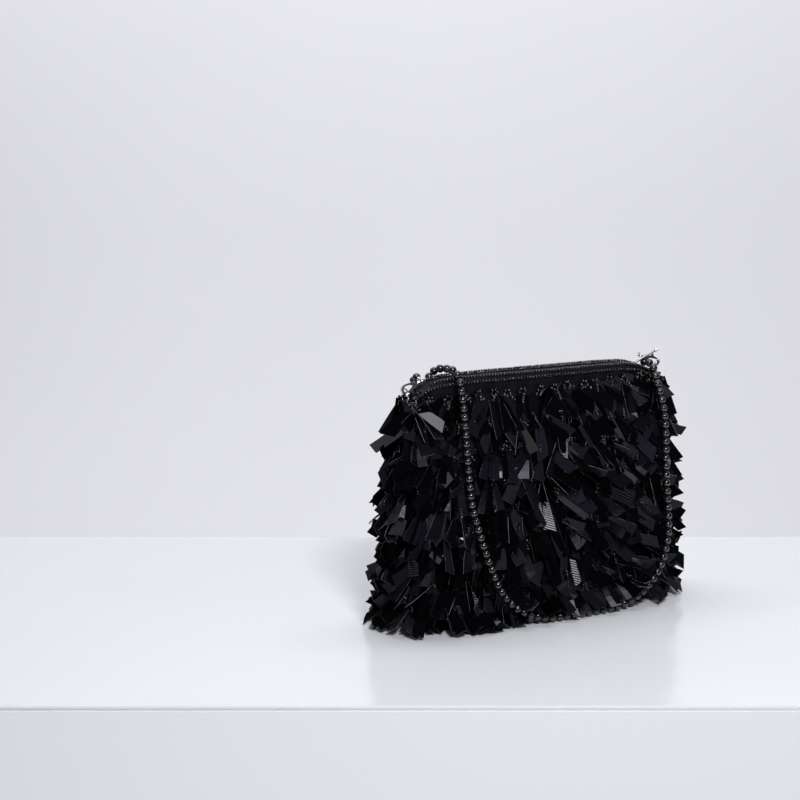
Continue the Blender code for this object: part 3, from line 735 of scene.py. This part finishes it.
def hang_strip(heap, rng, start, spot, push):
    """Hangs one long sequin from start. Tries again, closer to the wall, until it is free."""
    width = rng.uniform(*STRIP_WIDTH)
    length = rng.uniform(*STRIP_LENGTH)
    taper = rng.choice((0.5, 0.7, 0.85, 1.0, 1.0))
    skew = rng.choice((-0.5, 0.0, 0.0, 0.35))
    bend = rng.uniform(-0.12, 0.16)
    fold = rng.choice((0.0, 0.0, 0.0, -0.12))
    sway = rng.gauss(push, SWAY)
    lift = rng.uniform(1, 15) + spot.level * 1.5 + spot.flare
    twist = rng.gauss(0, TWIST)
    tone = rng.random() ** 4
    ribbed = 1.0 if rng.random() < 0.14 else 0.0
    # on two sequins in five the rims get that light grey, a painted glint
    slots = GLINT_PAINTED_EDGE if rng.random() < 0.4 else PLAIN_EDGE
    for attempt in range(TRIES):
        ease = 1 - attempt / (TRIES + 2)
        a, b = math.radians(sway * ease), math.radians(lift * ease + 4)
        if spot.level > ROWS - 2.5:  # the lowest ones splay out over the floor
            b = math.radians(lift + attempt * 7)
        turn = axes(swung(spot, a, b), spot.facing)
        t = math.radians(twist * ease)
        spin = np.array([[math.cos(t), -math.sin(t), 0], [math.sin(t), math.cos(t), 0], [0, 0, 1]])
        shorter = length * (1 - SHRINK * attempt)
        points = strip_points(width, shorter, taper, skew, bend, fold)
        points = points @ (turn @ spin).T + start
        if is_free(points):
            heap.add(points, STRIP_FACES, slots, tone=tone, ribbed=ribbed)
            return points
    return None


def hang_beads(heap, rng, spot, count):
    """A short swinging string of seed beads."""
    a, b = math.radians(rng.gauss(0, 35)), math.radians(rng.uniform(12, 40))
    way = swung(spot, a, b)
    for k in range(count):
        centre = spot.place + spot.out * 0.0050 + way * SEED * (k + 0.6)
        if is_free(centre[None, :] - [[0, 0, SEED / 2]]):
            add_bead(heap, BALL_SEED, centre, SEED, way)


def make_row(number, side, materials):
    """One sewn row: cups ringed with seed beads, and the long sequins that hang from them."""
    word = "front" if side < 0 else "back"
    film, beads = Heap(), Heap()
    rng = random.Random(f"{word} {number}")
    levels = [number] if number < ROWS - 1 else [number, number + 0.75]
    for level in levels:
        z_row = TOP_ROW_Z - ROW_STEP * level
        shift = 0.5 if int(number) % 2 else 0.0
        steps = [k + 0.25 + shift + rng.uniform(-0.16, 0.16) for k in range(CLUSTERS)]
        for share in [step / CLUSTERS for step in steps] + [0.0, 1.0]:
            share = min(max(share, 0.014), 0.986)  # just off the seams
            z = z_row + rng.uniform(-1, 1) * (0.0010 if number == 0 else 0.0026)
            place, right, out = [np.array(v) for v in skin(share, z, side, 0.0016)]
            push = SIDE_PUSH * math.tanh(3 * (share - PARTING)) * (1 + 0.05 * level)
            flare, facing = 0, out
            if min(share, 1 - share) < SEAM_SHARE:  # these stand off and turn to the face
                push, flare = 0, SEAM_FLARE[0] + SEAM_FLARE[1] * level
                facing = out * 0.4 + np.array([0.0, side, 0.0])
            spot = Spot(place, right, out, facing, level, push, flare)
            add_cluster(film, beads, rng, spot)
    name = f"sequins_{word}_{number + 1}"
    finishes = [materials["film"], materials["film_glint_edge"]]
    piece = film.build(name, "purse", "sequin", finishes, smooth=False)
    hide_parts(f"sequin_row_{word}_{number + 1}")
    beads.build(f"cluster_beads_{word}_{number + 1}", "purse", "glass_bead", [materials["bead_small"]])


def add_cluster(film, beads, rng, spot):
    """A cup ringed with seed beads, the sequins that hang from it, and a string of beads."""
    place, right, out = spot.place, spot.right, spot.out
    size = rng.uniform(*CUP_SIZE)
    turn = axes(out + UP * rng.uniform(-0.2, 0.5), UP)
    points, faces = placed(CUP, place + out * 0.0008, size, turn)
    if is_free(points):
        film.add(points, faces, tone=rng.random() * 0.6, ribbed=0.0)
    for k in range(rng.choice((5, 6, 6))):
        turn = 2 * math.pi * (k + rng.uniform(-0.2, 0.2)) / 6
        ring = (right * math.cos(turn) + UP * math.sin(turn)) * CUP_RING
        centre = place + out * 0.0022 + ring
        way = right * -math.sin(turn) + UP * math.cos(turn)
        if is_free(centre[None, :]):
            add_bead(beads, BALL_SEED, centre, SEED * rng.uniform(0.9, 1.08), way)
    for k in range(rng.choice((4, 4, 5))):
        off = right * rng.uniform(-0.0045, 0.0045) + out * rng.uniform(0.0004, 0.0034)
        start = place + off - UP * rng.uniform(0.0, 0.0036)
        made = hang_strip(film, rng, start, spot, spot.push + (k - 1.5) * 13)
        if made is not None and rng.random() < 0.45:
            add_bead(beads, BALL_SEED, made[1] + out * 0.0011, SEED, out)
    if rng.random() < 0.8:
        hang_beads(beads, rng, spot, rng.choice((2, 3, 4)))


# ---- finishes of the CAD nodes --------------------------------------------------------
def finish_nodes(materials):
    """Gives each CAD node that stays visible its detailed material."""
    finishes = {
        "satin": materials["satin"],
        "lining": materials["lining"],
        "tape": materials["tape"],
        "nylon": materials["nylon"],
        "board": materials["board"],
        "silver": materials["silver"],
        "glass_bead": materials["bead_small"],
        "sequin": materials["film"],
    }
    for part in frame["record"]["subparts"]:
        node = frame["nodes"][part["node"]]
        for slot in node.material_slots:
            slot.material = finishes[part["material_slot"]]


def make_materials():
    return {
        "bead_large": glass_bead_material("bead_large_glass", 150),
        "bead_small": glass_bead_material("bead_small_glass", 420),
        "film": paillette_material(),
        # light grey for the rims of some sequins: painted glint where edges catch the light
        "film_glint_edge": plain_material(
            "paillette_edge_painted_glint", (0.04, 0.04, 0.05), (0.18, 0.18, 0.22), 0.35, 200
        ),
        # for each cloth the first colour is the lighter one, its painted sheen, and the second is its
        # own dark tone
        "satin": satin_material(
            "black_satin", (0.0042, 0.0047, 0.0105), (0.0006, 0.0006, 0.0011)
        ),
        "tape": satin_material(
            "zip_tape_weave", (0.0090, 0.0090, 0.0120), (0.0030, 0.0030, 0.0040), 0.0006
        ),
        "lining": satin_material(
            "lining_cloth", (0.0140, 0.0140, 0.0170), (0.0070, 0.0070, 0.0085), 0.0005
        ),
        "nylon": plain_material(
            "zip_teeth_nylon", (0.008, 0.008, 0.009), (0.018, 0.018, 0.020), 0.35, 500
        ),
        "board": plain_material(
            "paper_board", (0.36, 0.29, 0.20), (0.48, 0.39, 0.27), 0.85, 300
        ),
        "thread": plain_material(
            "strap_thread_fibre", (0.006, 0.006, 0.007), (0.012, 0.012, 0.013), 0.7, 900
        ),
        "silver": metal_material(),
    }


# ---- stage ----------------------------------------------------------------------------
def add_stage(name, bm, matrix, colour, rough, scale):
    mesh = bpy.data.meshes.new(name)
    bm.to_mesh(mesh)
    bm.free()
    lighter = [c * 1.02 for c in colour]
    mesh.materials.append(plain_material(f"{name}_paint", colour, lighter, rough, scale, 0.02))
    obj = bpy.data.objects.new(name, mesh)
    obj.matrix_world = matrix
    bpy.context.scene.collection.objects.link(obj)


def make_stage():
    """A glossy white table whose edges lie square to the camera, and a pale wall behind."""
    facing = Matrix.Rotation(CAMERA_AZIMUTH, 4, "Z")
    base = Matrix.Translation((CAMERA_TARGET.x, CAMERA_TARGET.y, 0)) @ facing
    table = bmesh.new()
    bmesh.ops.create_cube(table, size=1.0)
    depth = TABLE_BACK + TABLE_FRONT
    bmesh.ops.scale(table, vec=(3.0, depth, TABLE_HEIGHT), verts=table.verts)
    middle = (TABLE_BACK - TABLE_FRONT) / 2
    bmesh.ops.translate(table, vec=(0, middle, -TABLE_HEIGHT / 2), verts=table.verts)
    bmesh.ops.bevel(table, geom=list(table.edges), offset=0.003, segments=4, affect="EDGES")
    add_stage("table", table, base, (0.675, 0.69, 0.72), 0.16, 3)
    wall = bmesh.new()
    bmesh.ops.create_grid(wall, x_segments=1, y_segments=1, size=3.0)
    upright = Matrix.Translation((0, 1.6, 0.5)) @ Matrix.Rotation(math.pi / 2, 4, "X")
    add_stage("backdrop", wall, base @ upright, (0.92, 0.92, 0.95), 0.9, 2)


def make_lights():
    world = bpy.data.worlds.new("studio")
    world.use_nodes = True
    background = world.node_tree.nodes["Background"]
    background.inputs["Color"].default_value = (0.80, 0.83, 1.0, 1)
    background.inputs["Strength"].default_value = 0.10
    bpy.context.scene.world = world
    centre = Vector((0, 0, 0.08))
    facing = Matrix.Rotation(CAMERA_AZIMUTH, 3, "Z")

    def spot(across, back, up):
        return CAMERA_TARGET + facing @ Vector((across, back, up))

    add_light("key_softbox", spot(0.22, -0.85, 0.75), centre, (0.26, 0.26), 12)
    add_light("left_softbox", spot(-1.5, -0.4, 0.8), centre, (0.35, 0.5), 1.6, (0.94, 0.96, 1.0))
    add_light("right_softbox", spot(1.5, -0.5, 0.9), centre, (0.3, 0.4), 1.2, (0.94, 0.96, 1.0))
    front = spot(0, -TABLE_FRONT, -0.20)
    add_light("table_front_wash", spot(0, -TABLE_FRONT - 0.7, -0.55), front, (1.6, 0.4), 4.6)
    wall = spot(0, 1.6, 0.1)
    add_light("wall_wash", spot(0, 0.5, 1.8), wall, (2.4, 0.5), 34)
    add_light("wall_fill", spot(0, 0.5, -1.2), wall, (2.4, 0.5), 10)
    bpy.context.scene.view_settings.view_transform = "Standard"


def main():
    make_camera()
    materials = make_materials()
    make_strap(materials)
    finish_nodes(materials)
    make_satin("satin_front", -1, materials["satin"], "shell_front_panel")
    make_satin("satin_back", 1, materials["satin"], "shell_back_panel")
    make_hem("hem_seed_beads_front", -1, materials["bead_small"], "hem_beads_front")
    make_hem("hem_seed_beads_back", 1, materials["bead_small"], "hem_beads_back")
    make_braid("braid_beads_left", -1, materials["bead_small"], "side_braid_left")
    make_braid("braid_beads_right", 1, materials["bead_small"], "side_braid_right")
    for side in (-1, 1):
        for number in range(ROWS):
            make_row(number, side, materials)
    make_stage()
    make_lights()


main()
